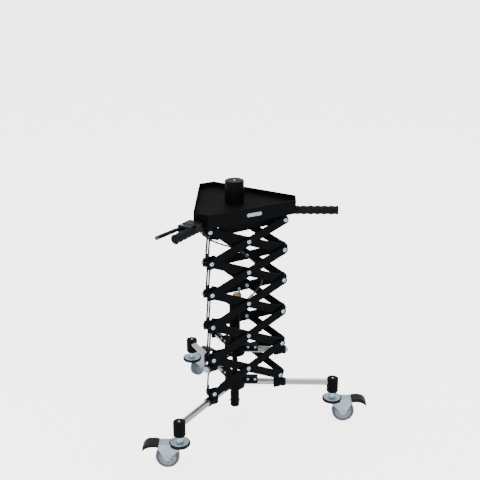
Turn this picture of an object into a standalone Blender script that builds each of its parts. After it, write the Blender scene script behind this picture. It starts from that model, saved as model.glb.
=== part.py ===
"""Sculptor's stand: a wheeled tripod, a three-sided scissor lift and a tray that carries a turning spindle.

Metres, +Z up. The floor is z = 0 and the origin is below the middle of the stand's outline.
Every piece is drawn about the lift's own axis, and the empty "stand" then carries it there.
Corners: b points along +X, c and a follow at 120 and 240 degrees.
Sides: ab faces -60 degrees, bc faces +60, ca faces 180.
"""

import math

import bmesh
import bpy
from mathutils import Matrix, Vector

for old in list(bpy.data.objects):
    bpy.data.objects.remove(old, do_unlink=True)

# ---------------------------------------------------------------- driving dimensions
LIFT_AXIS = (-0.0823, -0.0377)  # the lift's axis, seen from the middle of the stand's outline
CORNERS = {"b": 0.0, "c": 120.0, "a": 240.0}
SIDES = {"ab": 0.0, "bc": 120.0, "ca": 240.0}

# scissor lift
BAR_LENGTH = 0.2797  # pivot to pivot
BAR_HALF = 0.0138  # half the bar's width
BAR_END = 0.0118  # past the pivot
LEVEL_HALF = (0.1257, 0.1268, 0.1281, 0.1294, 0.1303, 0.1308)  # pivot from the side's middle
LOWEST_PIVOT = 0.1756
PLATE_IN, PLATE_OUT = 0.0802, 0.0832  # corner plates, from the axis to their faces
INNER_BAR = (0.0837, 0.0877)
OUTER_BAR = (0.0900, 0.0940)
RUNNING_GAP = 0.0005  # between a washer or boss and the bar that turns on it
WASHER = 0.0078
SHAFT = 0.0032
TIGHT_HOLE = 0.0036
LOOSE_HOLE = 0.0066
HEAD = 0.0072
HEAD_HIGH = 0.0036

# tubes that the corner blocks slide on
TUBE = 0.0105
TUBE_FIT = 0.0109
TUBE_DROP = 0.0308  # lowest pivot down to the leg tube

# base
POD_AT = 0.3292
POD = 0.0195
POD_LOW, POD_HIGH = 0.1105, 0.1603
HUB = 0.0340

# casters
WHEEL = 0.0375
WHEEL_WIDE = 0.0240
TRAIL = 0.0383
RACE = 0.0333

# head
RAIL_RISE = 0.0280  # highest pivot up to the rail
TRAY_SIDE = 0.1189  # axis to the tray's long sides
TRAY_CORNER = 0.1920  # axis to the clipped corners
TRAY_RIM = 0.7925
TRAY_FLOOR = 0.7770
TRAY_LOW = 0.7480
SKIRT_LOW = 0.7150  # plates under the tray, between its sliding corner blocks
SKIRT_OUT = 0.0782
SKIRT_HALF = 0.0970
SHEET = 0.0025
GRIP_FROM, GRIP_TO = 0.1960, 0.3257
SPINDLE = 0.0302
SPINDLE_TOP = 0.8490

LEVEL_Z = [LOWEST_PIVOT]
for low, high in zip(LEVEL_HALF, LEVEL_HALF[1:]):
    LEVEL_Z.append(LEVEL_Z[-1] + math.sqrt(BAR_LENGTH**2 - (low + high) ** 2))
LEG_Z = LEVEL_Z[0] - TUBE_DROP
LIFT_Z = LEVEL_Z[1] - TUBE_DROP
RAIL_Z = LEVEL_Z[5] + RAIL_RISE

UP = Vector((0, 0, 1))


def heading(degrees):
    return Vector((math.cos(math.radians(degrees)), math.sin(math.radians(degrees)), 0))


def turned(degrees):
    return Matrix.Rotation(math.radians(degrees), 4, "Z")


def frame(x_axis, y_axis, z_axis, origin=(0, 0, 0)):
    """A placement whose local axes are the three given directions."""
    place = Matrix((x_axis, y_axis, z_axis)).transposed().to_4x4()
    place.translation = Vector(origin)
    return place


# local x runs along side ab towards corner b, local y is up, local z faces outwards
SIDE_AB = frame(heading(30), UP, heading(-60))
SIDE_BC = turned(120) @ SIDE_AB


# ---------------------------------------------------------------- shapes
def mesh_of(bm):
    bmesh.ops.recalc_face_normals(bm, faces=bm.faces[:])
    if bm.calc_volume(signed=True) < 0:
        bmesh.ops.reverse_faces(bm, faces=bm.faces[:])
    mesh = bpy.data.meshes.new("shape")
    bm.to_mesh(mesh)
    bm.free()
    return mesh


def placed(mesh, matrix):
    copy = mesh.copy()
    copy.transform(matrix)
    return copy


def ring(radius, sides, centre=(0.0, 0.0), start=0.0):
    return [
        (
            centre[0] + radius * math.cos(start + 2 * math.pi * i / sides),
            centre[1] + radius * math.sin(start + 2 * math.pi * i / sides),
        )
        for i in range(sides)
    ]


def prism(outline, low, high, holes=()):
    """An outline in XY, with holes, drawn from z = low to z = high."""
    bm = bmesh.new()
    edges = []
    for loop in (outline, *holes):
        points = [bm.verts.new((x, y, low)) for x, y in loop]
        edges += [
            bm.edges.new((points[i], points[(i + 1) % len(points)]))
            for i in range(len(points))
        ]
    bmesh.ops.triangle_fill(bm, edges=edges, use_beauty=True, use_dissolve=False)
    grown = bmesh.ops.extrude_face_region(bm, geom=bm.faces[:], use_keep_orig=True)
    tops = [g for g in grown["geom"] if isinstance(g, bmesh.types.BMVert)]
    bmesh.ops.translate(bm, verts=tops, vec=(0, 0, high - low))
    return mesh_of(bm)


def lathe(profile, sides=24):
    """A profile of (radius, height) turned about Z.

    A radius of 0 closes that end. Otherwise the profile is a closed loop.
    """
    bm = bmesh.new()
    rows = []
    for radius, height in profile:
        if radius == 0:
            rows.append([bm.verts.new((0, 0, height))] * sides)
        else:
            rows.append([bm.verts.new((x, y, height)) for x, y in ring(radius, sides)])
    closed = profile[0][0] > 0 and profile[-1][0] > 0
    pairs = list(zip(rows, rows[1:])) + ([(rows[-1], rows[0])] if closed else [])
    for below, above in pairs:
        for i in range(sides):
            j = (i + 1) % sides
            corners = []
            for v in (below[i], below[j], above[j], above[i]):
                if v not in corners:
                    corners.append(v)
            bm.faces.new(corners)
    return mesh_of(bm)


def rod(start, end, radius, sides=20):
    start, end = Vector(start), Vector(end)
    long = (end - start).length
    shape = lathe([(0, 0), (radius, 0), (radius, long), (0, long)], sides)
    return placed(
        shape,
        Matrix.Translation(start) @ UP.rotation_difference(end - start).to_matrix().to_4x4(),
    )


def along(direction, mesh, origin):
    """Stand a mesh made about Z along a direction instead."""
    return placed(
        mesh,
        Matrix.Translation(origin) @ UP.rotation_difference(direction).to_matrix().to_4x4(),
    )


def block(low, high):
    xs, ys = (low[0], high[0]), (low[1], high[1])
    return prism(
        [(xs[0], ys[0]), (xs[1], ys[0]), (xs[1], ys[1]), (xs[0], ys[1])], low[2], high[2]
    )


def combined(first, others, operation):
    """Boolean the other meshes with the first, one after another."""
    body = bpy.data.objects.new("body", first)
    bpy.context.scene.collection.objects.link(body)
    tools = []
    for other in others:
        tool = bpy.data.objects.new("tool", other)
        bpy.context.scene.collection.objects.link(tool)
        tools.append(tool)
        step = body.modifiers.new("step", "BOOLEAN")
        step.operation, step.solver, step.object = operation, "MANIFOLD", tool
    graph = bpy.context.evaluated_depsgraph_get()
    result = bpy.data.meshes.new_from_object(body.evaluated_get(graph))
    for done in (body, *tools):
        bpy.data.objects.remove(done, do_unlink=True)
    return result


def joined(*meshes):
    return combined(meshes[0], meshes[1:], "UNION")


def cut(mesh, *cutters):
    return combined(mesh, cutters, "DIFFERENCE")


COLOURS = {
    "black_steel": (0.012, 0.013, 0.015, 1),
    "chrome": (0.62, 0.63, 0.64, 1),
    "zinc": (0.50, 0.55, 0.58, 1),
    "grey_rubber": (0.20, 0.21, 0.23, 1),
    "gloss_black": (0.006, 0.006, 0.007, 1),
}


stand = bpy.data.objects.new("stand", None)
stand.location = (*LIFT_AXIS, 0)
bpy.context.scene.collection.objects.link(stand)


def node(name, mesh, look, place=None, bare_metal=0.0, rough=0.45):
    """One named piece. A moving piece is drawn about its joint's axis, and place puts it where it stands."""
    material = bpy.data.materials.new(name + "_" + look)
    material.use_nodes = True
    surface = material.node_tree.nodes["Principled BSDF"]
    surface.inputs["Base Color"].default_value = COLOURS[look]
    surface.inputs["Metallic"].default_value = bare_metal
    surface.inputs["Roughness"].default_value = rough
    material.diffuse_color = COLOURS[look]
    mesh = mesh.copy()
    mesh.name = name
    mesh.materials.clear()
    mesh.materials.append(material)
    thing = bpy.data.objects.new(name, mesh)
    bpy.context.scene.collection.objects.link(thing)
    thing.parent = stand
    thing.matrix_local = place or Matrix()
    return thing


# ---------------------------------------------------------------- fasteners
def bolt(seat, root, boss=None):
    """A domed screw along local z: its shaft starts at root, its head rests on seat.

    A boss or washer stands under the bar that the head holds, and fills an unused bar's place.
    """
    profile = [(0, root)]
    if boss:
        inner_face = seat - 0.0003 - (OUTER_BAR[1] - OUTER_BAR[0]) - RUNNING_GAP
        profile += [(boss, root), (boss, inner_face), (SHAFT, inner_face)]
    else:
        profile += [(SHAFT, root)]
    profile += [
        (SHAFT, seat),
        (HEAD, seat),
        (HEAD, seat + 0.35 * HEAD_HIGH),
        (0.72 * HEAD, seat + 0.85 * HEAD_HIGH),
        (0, seat + HEAD_HIGH),
    ]
    return lathe(profile, 10)


def nut(inner_face):
    return prism(ring(0.0062, 6), inner_face - 0.0045, inner_face + 0.0012)


# ---------------------------------------------------------------- scissor bars
def bar_outline():
    """Flat bar with clipped corners, so that the bars of two sides clear each other at a corner."""
    quarter = [(-0.003, BAR_HALF), (-0.0085, 0.0104), (-BAR_END, 0.005)]
    near = [(x, -y) for x, y in quarter] + list(reversed(quarter))
    far = [(BAR_LENGTH - x, y) for x, y in reversed(near)]
    return near + far


def middle_of(tier):
    """The crossing bolt sits where the two bars of a tier cross, nearly half-way."""
    low, high = LEVEL_HALF[tier - 1], LEVEL_HALF[tier]
    return BAR_LENGTH * low / (low + high)


def outer_bar(tier):
    return prism(
        bar_outline(),
        *OUTER_BAR,
        holes=[
            ring(TIGHT_HOLE, 12),
            ring(LOOSE_HOLE, 12, (middle_of(tier), 0)),
            ring(LOOSE_HOLE, 12, (BAR_LENGTH, 0)),
        ],
    )


def inner_bar(tier):
    plate = prism(
        bar_outline(),
        *INNER_BAR,
        holes=[ring(TIGHT_HOLE, 12), ring(LOOSE_HOLE, 12, (BAR_LENGTH, 0))],
    )
    crossing = Matrix.Translation((middle_of(tier), 0, 0))
    return joined(
        plate,
        placed(bolt(OUTER_BAR[1] + 0.0003, INNER_BAR[0] + 0.001, boss=WASHER), crossing),
        placed(nut(INNER_BAR[0]), crossing),
    )


for tier in range(1, 6):
    low, high = LEVEL_HALF[tier - 1], LEVEL_HALF[tier]
    lean = math.asin((LEVEL_Z[tier] - LEVEL_Z[tier - 1]) / BAR_LENGTH)
    up_place = Matrix.Translation((-low, LEVEL_Z[tier - 1], 0)) @ Matrix.Rotation(lean, 4, "Z")
    down_place = Matrix.Translation((low, LEVEL_Z[tier - 1], 0)) @ Matrix.Rotation(
        math.pi - lean, 4, "Z"
    )
    rising, falling = outer_bar(tier), inner_bar(tier)
    for side, spin in SIDES.items():
        on_side = turned(spin) @ SIDE_AB
        node(f"bar_{side}_up_{tier}", rising, "black_steel", on_side @ up_place)
        node(f"bar_{side}_down_{tier}", falling, "black_steel", on_side @ down_place)


# ---------------------------------------------------------------- corner plates, made at corner b
def vee(z_low, z_high, inside=PLATE_IN, outside=PLATE_OUT, reach=0.112, nose=0.004):
    """A folded plate whose two flanges lie along sides ab and bc."""

    def on_ab(distance, along_side):
        spot = heading(-60) * distance + heading(30) * along_side
        return (spot.x, spot.y)

    def mirror(spot):
        return (spot[0], -spot[1])

    tip_out = math.sqrt(3) * outside - nose
    tip_in = math.sqrt(3) * inside - nose * 0.6
    first = [on_ab(outside, reach), on_ab(outside, tip_out)]
    last = [on_ab(inside, tip_in), on_ab(inside, reach)]
    outline = first + [mirror(p) for p in reversed(first)]
    outline += [mirror(p) for p in reversed(last)] + last
    return prism(outline, z_low, z_high)


def sleeve(tube_z, below, above, start, flange):
    """The boxed part round a tube, tapering to fit between the two flanges."""
    wide, tip = 0.0165, 2 * flange - 0.0055
    outline = [
        (start, -wide),
        (2 * flange - math.sqrt(3) * wide, -wide),
        (tip, -0.0030),
        (tip, 0.0030),
        (2 * flange - math.sqrt(3) * wide, wide),
        (start, wide),
    ]
    return prism(outline, tube_z - below, tube_z + above)


def corner_bolts(level, outside=PLATE_OUT, inside=PLATE_IN):
    """Both bolts of a corner: on side ab the corner is the +x end, on side bc the -x end."""
    half, z = LEVEL_HALF[level], LEVEL_Z[level]
    full = OUTER_BAR[1] + 0.0003
    short = INNER_BAR[1] + 0.0003
    root = inside + 0.001
    if level == 0:
        on_ab, on_bc = bolt(short, root), bolt(full, root, boss=0.0075)
    elif level == 5:
        on_ab, on_bc = bolt(full, root, boss=0.0058), bolt(short, root)
    else:
        on_ab, on_bc = bolt(full, root), bolt(full, root)
    ab = SIDE_AB @ Matrix.Translation((half, z, 0))
    bc = SIDE_BC @ Matrix.Translation((-half, z, 0))
    return [
        placed(on_ab, ab),
        placed(nut(inside), ab),
        placed(on_bc, bc),
        placed(nut(inside), bc),
    ]


def everywhere(name, mesh, look, **finish):
    """One copy of a piece made at corner b for each corner."""
    for corner, spin in CORNERS.items():
        node(name.format(corner), mesh, look, turned(spin), **finish)


for level in (2, 3, 4):
    z = LEVEL_Z[level]
    everywhere(
        "corner_bracket_{}_" + str(level),
        joined(vee(z - 0.022, z + 0.022), *corner_bolts(level)),
        "black_steel",
    )


def sliding_block(level, tube_z, z_low, z_high, ring_out):
    """A folded plate, a boxed sleeve round the tube and a plain bush at its outer end."""
    shell = joined(
        vee(z_low, z_high),
        sleeve(tube_z, 0.0130, 0.0165, 0.1300, PLATE_IN + 0.0012),
        rod((0.1550, 0, tube_z), (ring_out, 0, tube_z), 0.0138, 16),
        *corner_bolts(level),
    )
    return cut(shell, rod((0.1, 0, tube_z), (0.2, 0, tube_z), TUBE_FIT, 16))


everywhere(
    "leg_slider_{}",
    sliding_block(0, LEG_Z, LEG_Z - 0.0130, LEVEL_Z[0] + 0.0165, 0.1720),
    "black_steel",
)
everywhere(
    "lift_slider_{}",
    sliding_block(1, LIFT_Z, LIFT_Z - 0.0130, LEVEL_Z[1] + 0.0165, 0.1700),
    "black_steel",
)

# the top blocks run inside the head's lower frame, and their bolts reach out through it
top_in, top_out = PLATE_IN - 0.0032, PLATE_OUT - 0.0032
top_block = cut(
    joined(
        vee(LEVEL_Z[5] - 0.0160, RAIL_Z + 0.0150, top_in, top_out, 0.1100),
        sleeve(RAIL_Z, 0.0160, 0.0145, 0.1120, top_in + 0.0012),
        rod((0.1480, 0, RAIL_Z), (0.1660, 0, RAIL_Z), 0.0138, 16),
        *corner_bolts(5, top_out, top_in),
    ),
    rod((0.1, 0, RAIL_Z), (0.2, 0, RAIL_Z), TUBE_FIT, 16),
)
everywhere("head_slider_{}", top_block, "black_steel")


# ---------------------------------------------------------------- base
def arm_block(z, out, low, high):
    return block((0.020, -0.0130, z - low), (out, 0.0130, z + high))


base = [
    rod((0, 0, LEG_Z - 0.017), (0, 0, LEG_Z + 0.024), HUB, 24),
    rod((0, 0, 0.0540), (0, 0, LEG_Z), 0.0150, 24),
    rod((-0.0195, 0, 0.0730), (0.0195, 0, 0.0730), 0.0032, 12),
    rod((0, 0, LEG_Z), (0, 0, 0.4000), 0.0093, 20),
]
for spin in CORNERS.values():
    pieces = [
        arm_block(LEG_Z, 0.0770, 0.0020, 0.0200),
        rod((0.0300, 0, LEG_Z), (POD_AT - 0.004, 0, LEG_Z), TUBE, 16),
        lathe(
            [
                (0, POD_LOW),
                (POD - 0.0015, POD_LOW),
                (POD, POD_LOW + 0.0015),
                (POD, POD_HIGH - 0.002),
                (POD - 0.002, POD_HIGH),
                (0, POD_HIGH),
            ],
            24,
        ),
        # king pin
        lathe(
            [
                (0, 0.0740),
                (0.0060, 0.0740),
                (0.0060, 0.0900),
                (0.0135, 0.0900),
                (0.0135, POD_LOW + 0.002),
                (0, POD_LOW + 0.002),
            ],
            16,
        ),
    ]
    for i in (2, 3):
        pieces[i] = placed(pieces[i], Matrix.Translation((POD_AT, 0, 0)))
    base += [placed(p, turned(spin)) for p in pieces]
node("base_spider", joined(*base), "black_steel")

# ---------------------------------------------------------------- lifting hub on the strut
lift = [
    rod((0, 0, LIFT_Z - 0.0140), (0, 0, LIFT_Z + 0.0220), HUB, 24),
    rod((0, 0, LIFT_Z), (0, 0, 0.4530), 0.0181, 28),
    rod((0.0085, 0, 0.4510), (0.0085, 0, 0.4665), 0.0145, 20),
    rod((0.0150, 0, 0.4650), (0.0150, 0, 0.4850), 0.0038, 12),
]
for spin in CORNERS.values():
    pieces = [
        arm_block(LIFT_Z, 0.0770, 0.0020, 0.0180),
        rod((0.0300, 0, LIFT_Z), (0.1740, 0, LIFT_Z), TUBE, 16),
        rod((0.1700, 0, LIFT_Z), (0.1800, 0, LIFT_Z), 0.0048, 12),
    ]
    lift += [placed(p, turned(spin)) for p in pieces]
lift_hub = cut(joined(*lift), rod((0, 0, 0.20), (0, 0, 0.4430), 0.0097, 20))
node("lift_spider", lift_hub, "black_steel")


# ---------------------------------------------------------------- head
def clipped_triangle(side, corner):
    """Three long sides at one distance from the axis, three short ones at another."""
    spots = []
    half = 2 * side - corner
    half /= math.sqrt(3)
    for spin in (0, 120, 240):
        for across in (-half, half):
            spot = turned(spin) @ Vector((corner, across, 0))
            spots.append((spot.x, spot.y))
    return spots


pan = joined(
    prism(
        clipped_triangle(TRAY_SIDE, TRAY_CORNER),
        TRAY_LOW,
        TRAY_RIM,
        holes=[clipped_triangle(TRAY_SIDE - SHEET, TRAY_CORNER - SHEET)],
    ),
    prism(
        clipped_triangle(TRAY_SIDE - 0.001, TRAY_CORNER - 0.001),
        TRAY_FLOOR - SHEET,
        TRAY_FLOOR,
        holes=[ring(0.0150, 24)],
    ),
    # three plates below the floor close off the head between its sliding corner blocks
    *[
        placed(
            block(
                (-SKIRT_HALF, SKIRT_LOW, SKIRT_OUT - SHEET),
                (SKIRT_HALF, TRAY_FLOOR - 0.0010, SKIRT_OUT),
            ),
            turned(spin) @ SIDE_AB,
        )
        for spin in (0, 120, 240)
    ],
)
openings = [
    placed(rod((0.170, 0, RAIL_Z), (0.210, 0, RAIL_Z), TUBE + 0.0006, 20), turned(spin))
    for spin in (0, 240)
]
node("tray_pan", cut(pan, *openings), "black_steel")


def grip():
    """A hand grip with shallow finger grooves and a flared end, along local z."""
    profile = [(0, GRIP_FROM - 0.006), (TUBE, GRIP_FROM - 0.006), (TUBE, GRIP_FROM)]
    steps = 18
    for i in range(steps + 1):
        share = i / steps
        radius = 0.0134 + 0.0007 * math.cos(share * 6 * 2 * math.pi)
        profile.append((radius, GRIP_FROM + share * (GRIP_TO - GRIP_FROM - 0.005)))
    profile += [(0.0150, GRIP_TO - 0.004), (0.0150, GRIP_TO - 0.001), (0.0138, GRIP_TO), (0, GRIP_TO)]
    return lathe(profile, 16)


head = [
    rod((0, 0, RAIL_Z - 0.014), (0, 0, TRAY_FLOOR - SHEET - 0.0004), 0.0320, 24),
    rod((0, 0, RAIL_Z), (0, 0, SPINDLE_TOP - 0.0120), 0.0120, 20),
]
for corner, spin in CORNERS.items():
    end = 0.1880 if corner == "c" else GRIP_FROM
    arms = [rod((0.020, 0, RAIL_Z), (end, 0, RAIL_Z), TUBE, 16)]
    if corner != "c":
        arms.append(along(Vector((1, 0, 0)), grip(), (0, 0, RAIL_Z)))
    if corner == "a":
        # the lever's bracket stands out sideways from the handle, next to the tray
        arms += [
            block((0.2040, -0.0360, RAIL_Z - 0.0080), (0.2600, -0.0050, RAIL_Z + 0.0030)),
            rod((0.2490, -0.0285, RAIL_Z), (0.2490, -0.0285, RAIL_Z + 0.0125), 0.0026, 12),
        ]
    head += [placed(p, turned(spin)) for p in arms]
node("head_frame", joined(*head), "black_steel")

drum = lathe(
    [
        (0, TRAY_FLOOR + 0.0006),
        (SPINDLE - 0.001, TRAY_FLOOR + 0.0006),
        (SPINDLE, TRAY_FLOOR + 0.0016),
        (SPINDLE, SPINDLE_TOP - 0.0015),
        (SPINDLE - 0.0015, SPINDLE_TOP),
        (0.0050, SPINDLE_TOP),
        (0.0050, SPINDLE_TOP + 0.0018),
        (0, SPINDLE_TOP + 0.0018),
    ],
    36,
)
post_bore = rod((0, 0, TRAY_FLOOR - 0.02), (0, 0, SPINDLE_TOP - 0.0100), 0.0126, 20)
node("turntable_spindle", cut(drum, post_bore), "gloss_black", rough=0.3)

# the release lever lies beside handle a, pivoting about a vertical pin
LEVER_PIVOT = (0.2490, -0.0285)
lever = cut(
    prism(
        [
            (0.2390, -0.0330),
            (0.2450, -0.0370),
            (0.2620, -0.0375),
            (0.3560, -0.0450),
            (0.3610, -0.0430),
            (0.3610, -0.0395),
            (0.3560, -0.0370),
            (0.2640, -0.0270),
            (0.2560, -0.0210),
            (0.2430, -0.0210),
            (0.2390, -0.0240),
        ],
        RAIL_Z + 0.0034,
        RAIL_Z + 0.0104,
    ),
    rod((*LEVER_PIVOT, RAIL_Z), (*LEVER_PIVOT, RAIL_Z + 0.02), 0.0030, 14),
)
pin = Matrix.Translation((*LEVER_PIVOT, 0))
node(
    "release_lever",
    placed(lever, pin.inverted()),
    "black_steel",
    turned(CORNERS["a"]) @ pin,
)

# ---------------------------------------------------------------- casters
# each is drawn about its swivel axis, with the wheel towards +X
STANDING = frame((1, 0, 0), (0, 0, 1), (0, -1, 0))  # an XY outline stood up in the XZ plane
CHEEK = [
    (-0.012, 0.0785),
    (0.020, 0.0790),
    (0.074, 0.0800),
    (0.060, 0.0590),
    (TRAIL + 0.010, 0.0330),
    (TRAIL, 0.0285),
    (TRAIL - 0.010, 0.0330),
    (TRAIL - 0.014, 0.0430),
]
PEDAL = [
    (0.0640, 0.0780),
    (0.0640, 0.0885),
    (0.0850, 0.0895),
    (0.1000, 0.0875),
    (0.1100, 0.0810),
    (0.1165, 0.0690),
    (0.1140, 0.0640),
    (0.1080, 0.0690),
    (0.1000, 0.0745),
    (0.0850, 0.0780),
]
race_low, race_high = 0.0768, 0.0885
fork = cut(
    joined(
        lathe(
            [
                (0, race_low),
                (RACE - 0.004, race_low),
                (RACE, race_low + 0.005),
                (RACE, race_high - 0.002),
                (RACE - 0.003, race_high),
                (0, race_high),
            ],
            28,
        ),
        block((0.0180, -0.0172, race_low + 0.0010), (0.0700, 0.0172, race_low + 0.0040)),
        block((0.0250, -0.0200, 0.0800), (0.0660, 0.0200, 0.0868)),
        *[
            placed(prism(CHEEK, low, low + 0.0026), STANDING)
            for low in (0.0146, -0.0172)
        ],
        rod((TRAIL, -0.0200, WHEEL), (TRAIL, 0.0200, WHEEL), 0.0042, 14),
        placed(prism(PEDAL, -0.0200, 0.0200), STANDING),
    ),
    rod((0, 0, 0.06), (0, 0, 0.12), 0.0065, 16),
)
wheel = lathe(
    [
        (0.0048, -0.0135),
        (0.0100, -0.0135),
        (0.0110, -0.0110),
        (0.0250, -0.0095),
        (0.0270, -WHEEL_WIDE / 2),
        (WHEEL - 0.004, -WHEEL_WIDE / 2),
        (WHEEL, -WHEEL_WIDE / 2 + 0.005),
        (WHEEL, WHEEL_WIDE / 2 - 0.005),
        (WHEEL - 0.004, WHEEL_WIDE / 2),
        (0.0270, WHEEL_WIDE / 2),
        (0.0250, 0.0095),
        (0.0110, 0.0110),
        (0.0100, 0.0135),
        (0.0048, 0.0135),
    ],
    24,
)
axle = Matrix.Translation((TRAIL, 0, WHEEL)) @ STANDING
CASTER_TURN = {"b": 0.0, "c": 57.0, "a": 180.0}
for corner, spin in CORNERS.items():
    at = Matrix.Translation(heading(spin) * POD_AT) @ turned(CASTER_TURN[corner])
    node(f"caster_fork_{corner}", fork, "zinc", at, bare_metal=1.0)
    node(f"caster_wheel_{corner}", wheel, "grey_rubber", at @ axle)
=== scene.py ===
# %% [markdown]
# # A sculptor's stand, dressed step by step
# The stand is a wheeled tripod with a three-sided scissor lift. On top is a
# clipped triangular tray with a short drum that turns. This lesson loads the
# plain engineering model, which knows how everything moves, and dresses each
# piece of it: bevelled steel, plated screws, rubber grips and grey wheels.

# %% Load the model that moves
import math

import bmesh
import bpy
from mathutils import Matrix, Vector


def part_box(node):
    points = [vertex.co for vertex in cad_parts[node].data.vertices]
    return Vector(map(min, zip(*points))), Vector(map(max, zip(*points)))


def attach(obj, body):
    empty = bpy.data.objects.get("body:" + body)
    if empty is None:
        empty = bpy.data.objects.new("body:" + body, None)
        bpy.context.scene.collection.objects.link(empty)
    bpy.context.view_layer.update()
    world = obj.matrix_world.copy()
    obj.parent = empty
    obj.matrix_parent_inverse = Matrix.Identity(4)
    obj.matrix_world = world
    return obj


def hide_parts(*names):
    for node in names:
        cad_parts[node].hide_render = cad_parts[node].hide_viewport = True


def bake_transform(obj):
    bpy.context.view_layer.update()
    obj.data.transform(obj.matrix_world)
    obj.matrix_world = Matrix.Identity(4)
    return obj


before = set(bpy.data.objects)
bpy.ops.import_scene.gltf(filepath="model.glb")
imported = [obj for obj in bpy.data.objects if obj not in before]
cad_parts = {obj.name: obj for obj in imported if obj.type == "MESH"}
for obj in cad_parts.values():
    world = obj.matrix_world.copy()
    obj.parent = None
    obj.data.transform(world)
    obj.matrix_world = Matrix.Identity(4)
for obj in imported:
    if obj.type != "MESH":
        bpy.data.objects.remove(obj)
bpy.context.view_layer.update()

# %% [markdown]
# ## Where things are
# Every piece is drawn in metres about the lift's own axis, with the floor at
# zero, and then carried to where that axis stands in the model. The few sizes
# below drive nearly all of them. Corner b points along +X, and corners c and a
# follow at 120 and 240 degrees, so a piece is drawn once at corner b and
# turned to the other two.

# %% Sizes that drive the pieces
LIFT_AXIS = Vector((-0.0823, -0.0377, 0))
CORNERS = {"b": 0.0, "c": 120.0, "a": 240.0}
SIDES = {"ab": 0.0, "bc": 120.0, "ca": 240.0}
BAR_LENGTH, BAR_HALF, BAR_END = 0.2797, 0.0138, 0.0118
LEVEL_HALF = (0.1257, 0.1268, 0.1281, 0.1294, 0.1303, 0.1308)
PLATE_IN, PLATE_OUT = 0.0802, 0.0832
INNER_BAR, OUTER_BAR = (0.0837, 0.0877), (0.0900, 0.0940)
LEVEL_Z = [0.1756]
for low, high in zip(LEVEL_HALF, LEVEL_HALF[1:]):
    LEVEL_Z.append(LEVEL_Z[-1] + math.sqrt(BAR_LENGTH**2 - (low + high) ** 2))
LEG_Z, LIFT_Z, RAIL_Z = LEVEL_Z[0] - 0.0308, LEVEL_Z[1] - 0.0308, LEVEL_Z[5] + 0.0280
TUBE, POD_AT = 0.0105, 0.3292
tray_low, tray_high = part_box("tray_pan")
TRAY_RIM, TRAY_FLOOR = tray_high.z, 0.7770
print("levels", [round(z, 4) for z in LEVEL_Z], "rim", round(TRAY_RIM, 4))


# %% Small helpers for directions and placements
def heading(degrees):
    return Vector((math.cos(math.radians(degrees)), math.sin(math.radians(degrees)), 0))


def turned(degrees):
    return Matrix.Rotation(math.radians(degrees), 4, "Z")


def moved(x, y, z):
    return Matrix.Translation((x, y, z))


def frame_of(x_axis, y_axis, z_axis):
    return Matrix((x_axis, y_axis, z_axis)).transposed().to_4x4()


UP = Vector((0, 0, 1))
SIDE_AB = frame_of(heading(30), UP, heading(-60))
SIDE_BC = turned(120) @ SIDE_AB
STANDING = frame_of((1, 0, 0), (0, 0, 1), (0, -1, 0))


def facing(direction, spot=(0, 0, 0)):
    """Turns a shape made about Z to look along a direction, standing at a spot."""
    return Matrix.Translation(spot) @ UP.rotation_difference(Vector(direction)).to_matrix().to_4x4()


# %% [markdown]
# ## The camera
# The camera comes first, so that every later choice can be judged through it.
# It stands a little to the right of the lift's axis, well above the tray, and
# looks down at about twenty degrees with a long lens, which keeps the stand's
# verticals nearly parallel.

# %% Camera
camera = bpy.data.objects.new("camera", bpy.data.cameras.new("camera"))
bpy.context.scene.collection.objects.link(camera)
CAMERA_AT = Vector((0.0657, -2.6817, 1.6190))
YAW, PITCH = -0.0180, -0.3465
look = Vector((math.sin(YAW) * math.cos(PITCH), math.cos(YAW) * math.cos(PITCH), math.sin(PITCH)))
looking = look.to_track_quat("-Z", "Y").to_matrix().to_4x4()
camera.matrix_world = Matrix.Translation(CAMERA_AT + LIFT_AXIS) @ looking
camera.data.sensor_width = 36.0
camera.data.lens = 67.18
camera.data.clip_end = 200
bpy.context.scene.camera = camera
print("camera", tuple(round(v, 3) for v in CAMERA_AT), "lens", camera.data.lens)

# %% [markdown]
# ## A pale studio
# A wide matt floor, an even pale sky and four large soft lights give gentle
# shadows under the casters and long quiet reflections in the plated parts.
# The paper glows for the camera only, as overlit studio paper does, so it
# looks nearly white without flooding the black parts with light.


# %% Node helper and studio
def put(tree, kind, values=None, **settings):
    """Adds a node. A value that is another node's socket becomes a link."""
    node = tree.nodes.new(kind)
    for key, value in settings.items():
        setattr(node, key, value)
    for key, value in (values or {}).items():
        if isinstance(value, bpy.types.NodeSocket):
            tree.links.new(value, node.inputs[key])
        else:
            node.inputs[key].default_value = value
    return node


def blank_material(name, colour, metallic=0.0, roughness=0.5, **more):
    material = bpy.data.materials.new(name)
    material.use_nodes = True
    surface = material.node_tree.nodes["Principled BSDF"]
    surface.inputs["Base Color"].default_value = (*colour, 1)
    surface.inputs["Metallic"].default_value = metallic
    surface.inputs["Roughness"].default_value = roughness
    for key, value in more.items():
        surface.inputs[key.replace("_", " ")].default_value = value
    material.diffuse_color = (*colour, 1)
    return material, material.node_tree, surface


studio_paper, paper_tree, paper = blank_material("studio paper", (0.93, 0.93, 0.93), roughness=0.95)
seen = put(paper_tree, "ShaderNodeLightPath").outputs["Is Camera Ray"]
glow = put(paper_tree, "ShaderNodeMath", {0: seen, 1: 3.2}, operation="MULTIPLY").outputs[0]
paper_tree.links.new(glow, paper.inputs["Emission Strength"])
paper.inputs["Emission Color"].default_value = (1, 1, 1, 1)
floor_mesh = bpy.data.meshes.new("studio_floor")
floor_mesh.from_pydata([(-60, -60, 0), (60, -60, 0), (60, 60, 0), (-60, 60, 0)], [], [(0, 1, 2, 3)])
floor_mesh.materials.append(studio_paper)
floor = bpy.data.objects.new("studio_floor", floor_mesh)
bpy.context.scene.collection.objects.link(floor)

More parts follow.
